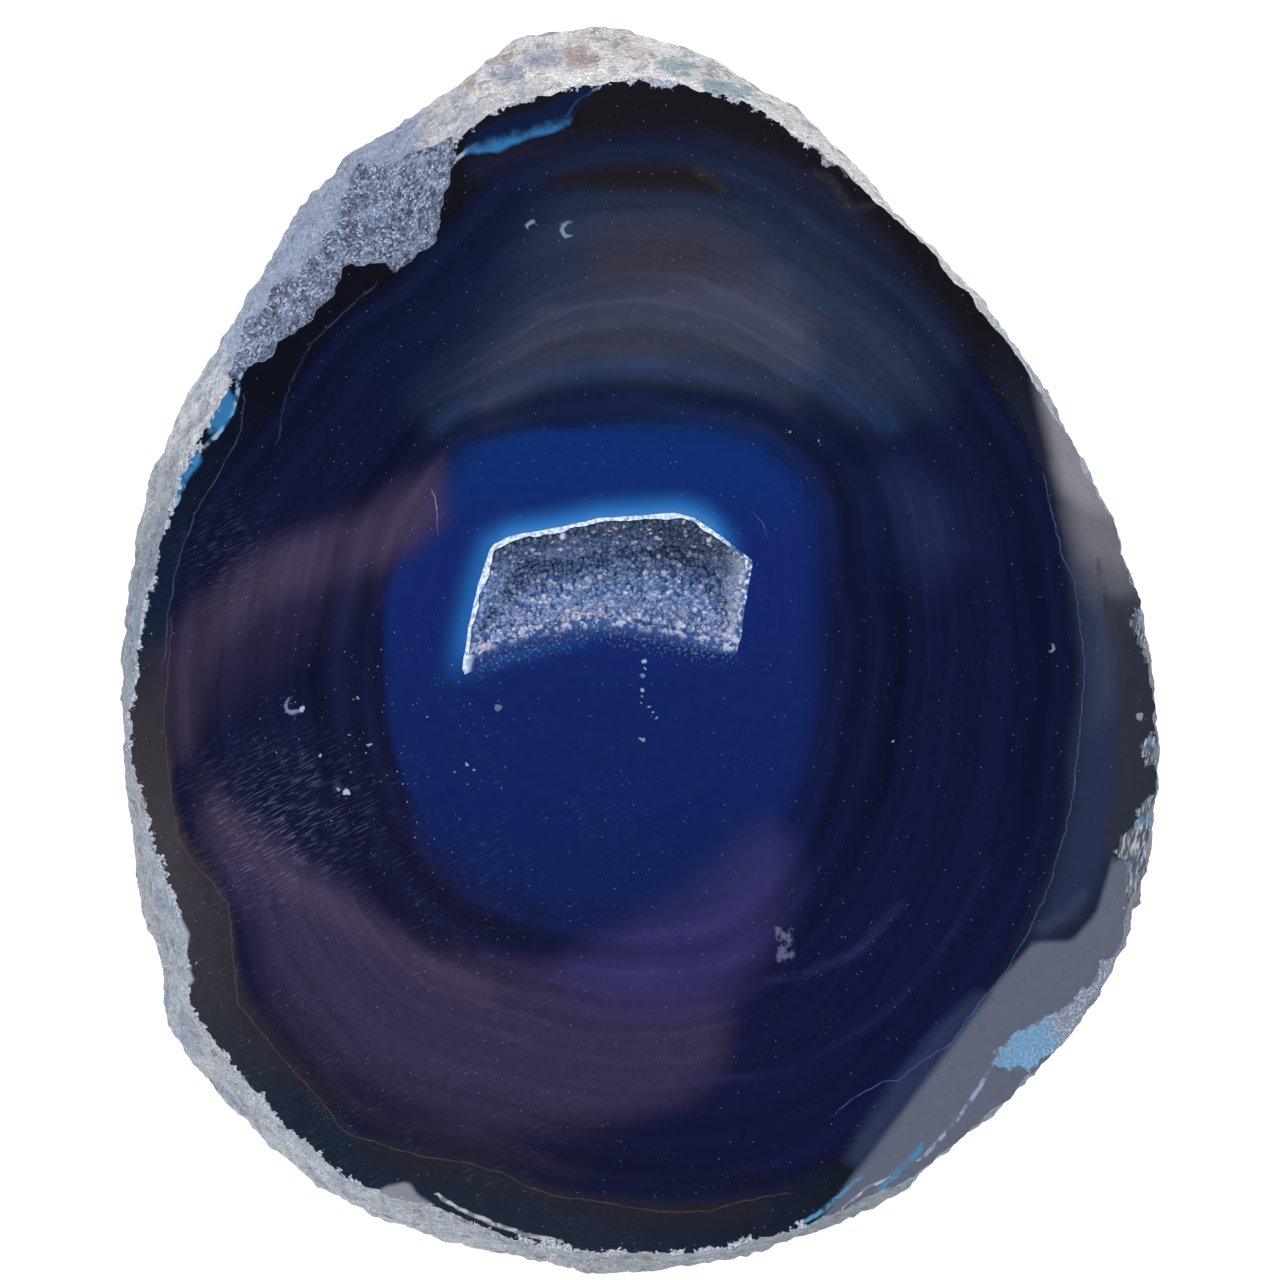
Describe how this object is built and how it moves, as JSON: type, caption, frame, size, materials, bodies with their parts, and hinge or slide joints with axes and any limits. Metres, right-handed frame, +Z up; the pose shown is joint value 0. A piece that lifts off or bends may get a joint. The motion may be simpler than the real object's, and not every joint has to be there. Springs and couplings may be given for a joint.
{
  "type": "agate half nodule",
  "caption": "Half of a dyed blue agate nodule with a flat polished face, rounded natural rind and a small hollow lined with quartz crystals.",
  "frame": {"origin": "middle of the stone's box, on the surface it lies on", "axes": "+Z up, out of the polished face; +Y up the face towards the narrow end; +X to the right across the face"},
  "size_m": [0.1058, 0.1273, 0.05],
  "materials": {
    "agate": "polished banded chalcedony dyed deep blue on the cut faces, rough pale grey rind elsewhere, opaque",
    "quartz": "sugary grey-blue quartz crystals"
  },
  "bodies": {
    "root": {"agate_nodule": "agate", "quartz_druse": "quartz"}
  },
  "joints": []
}
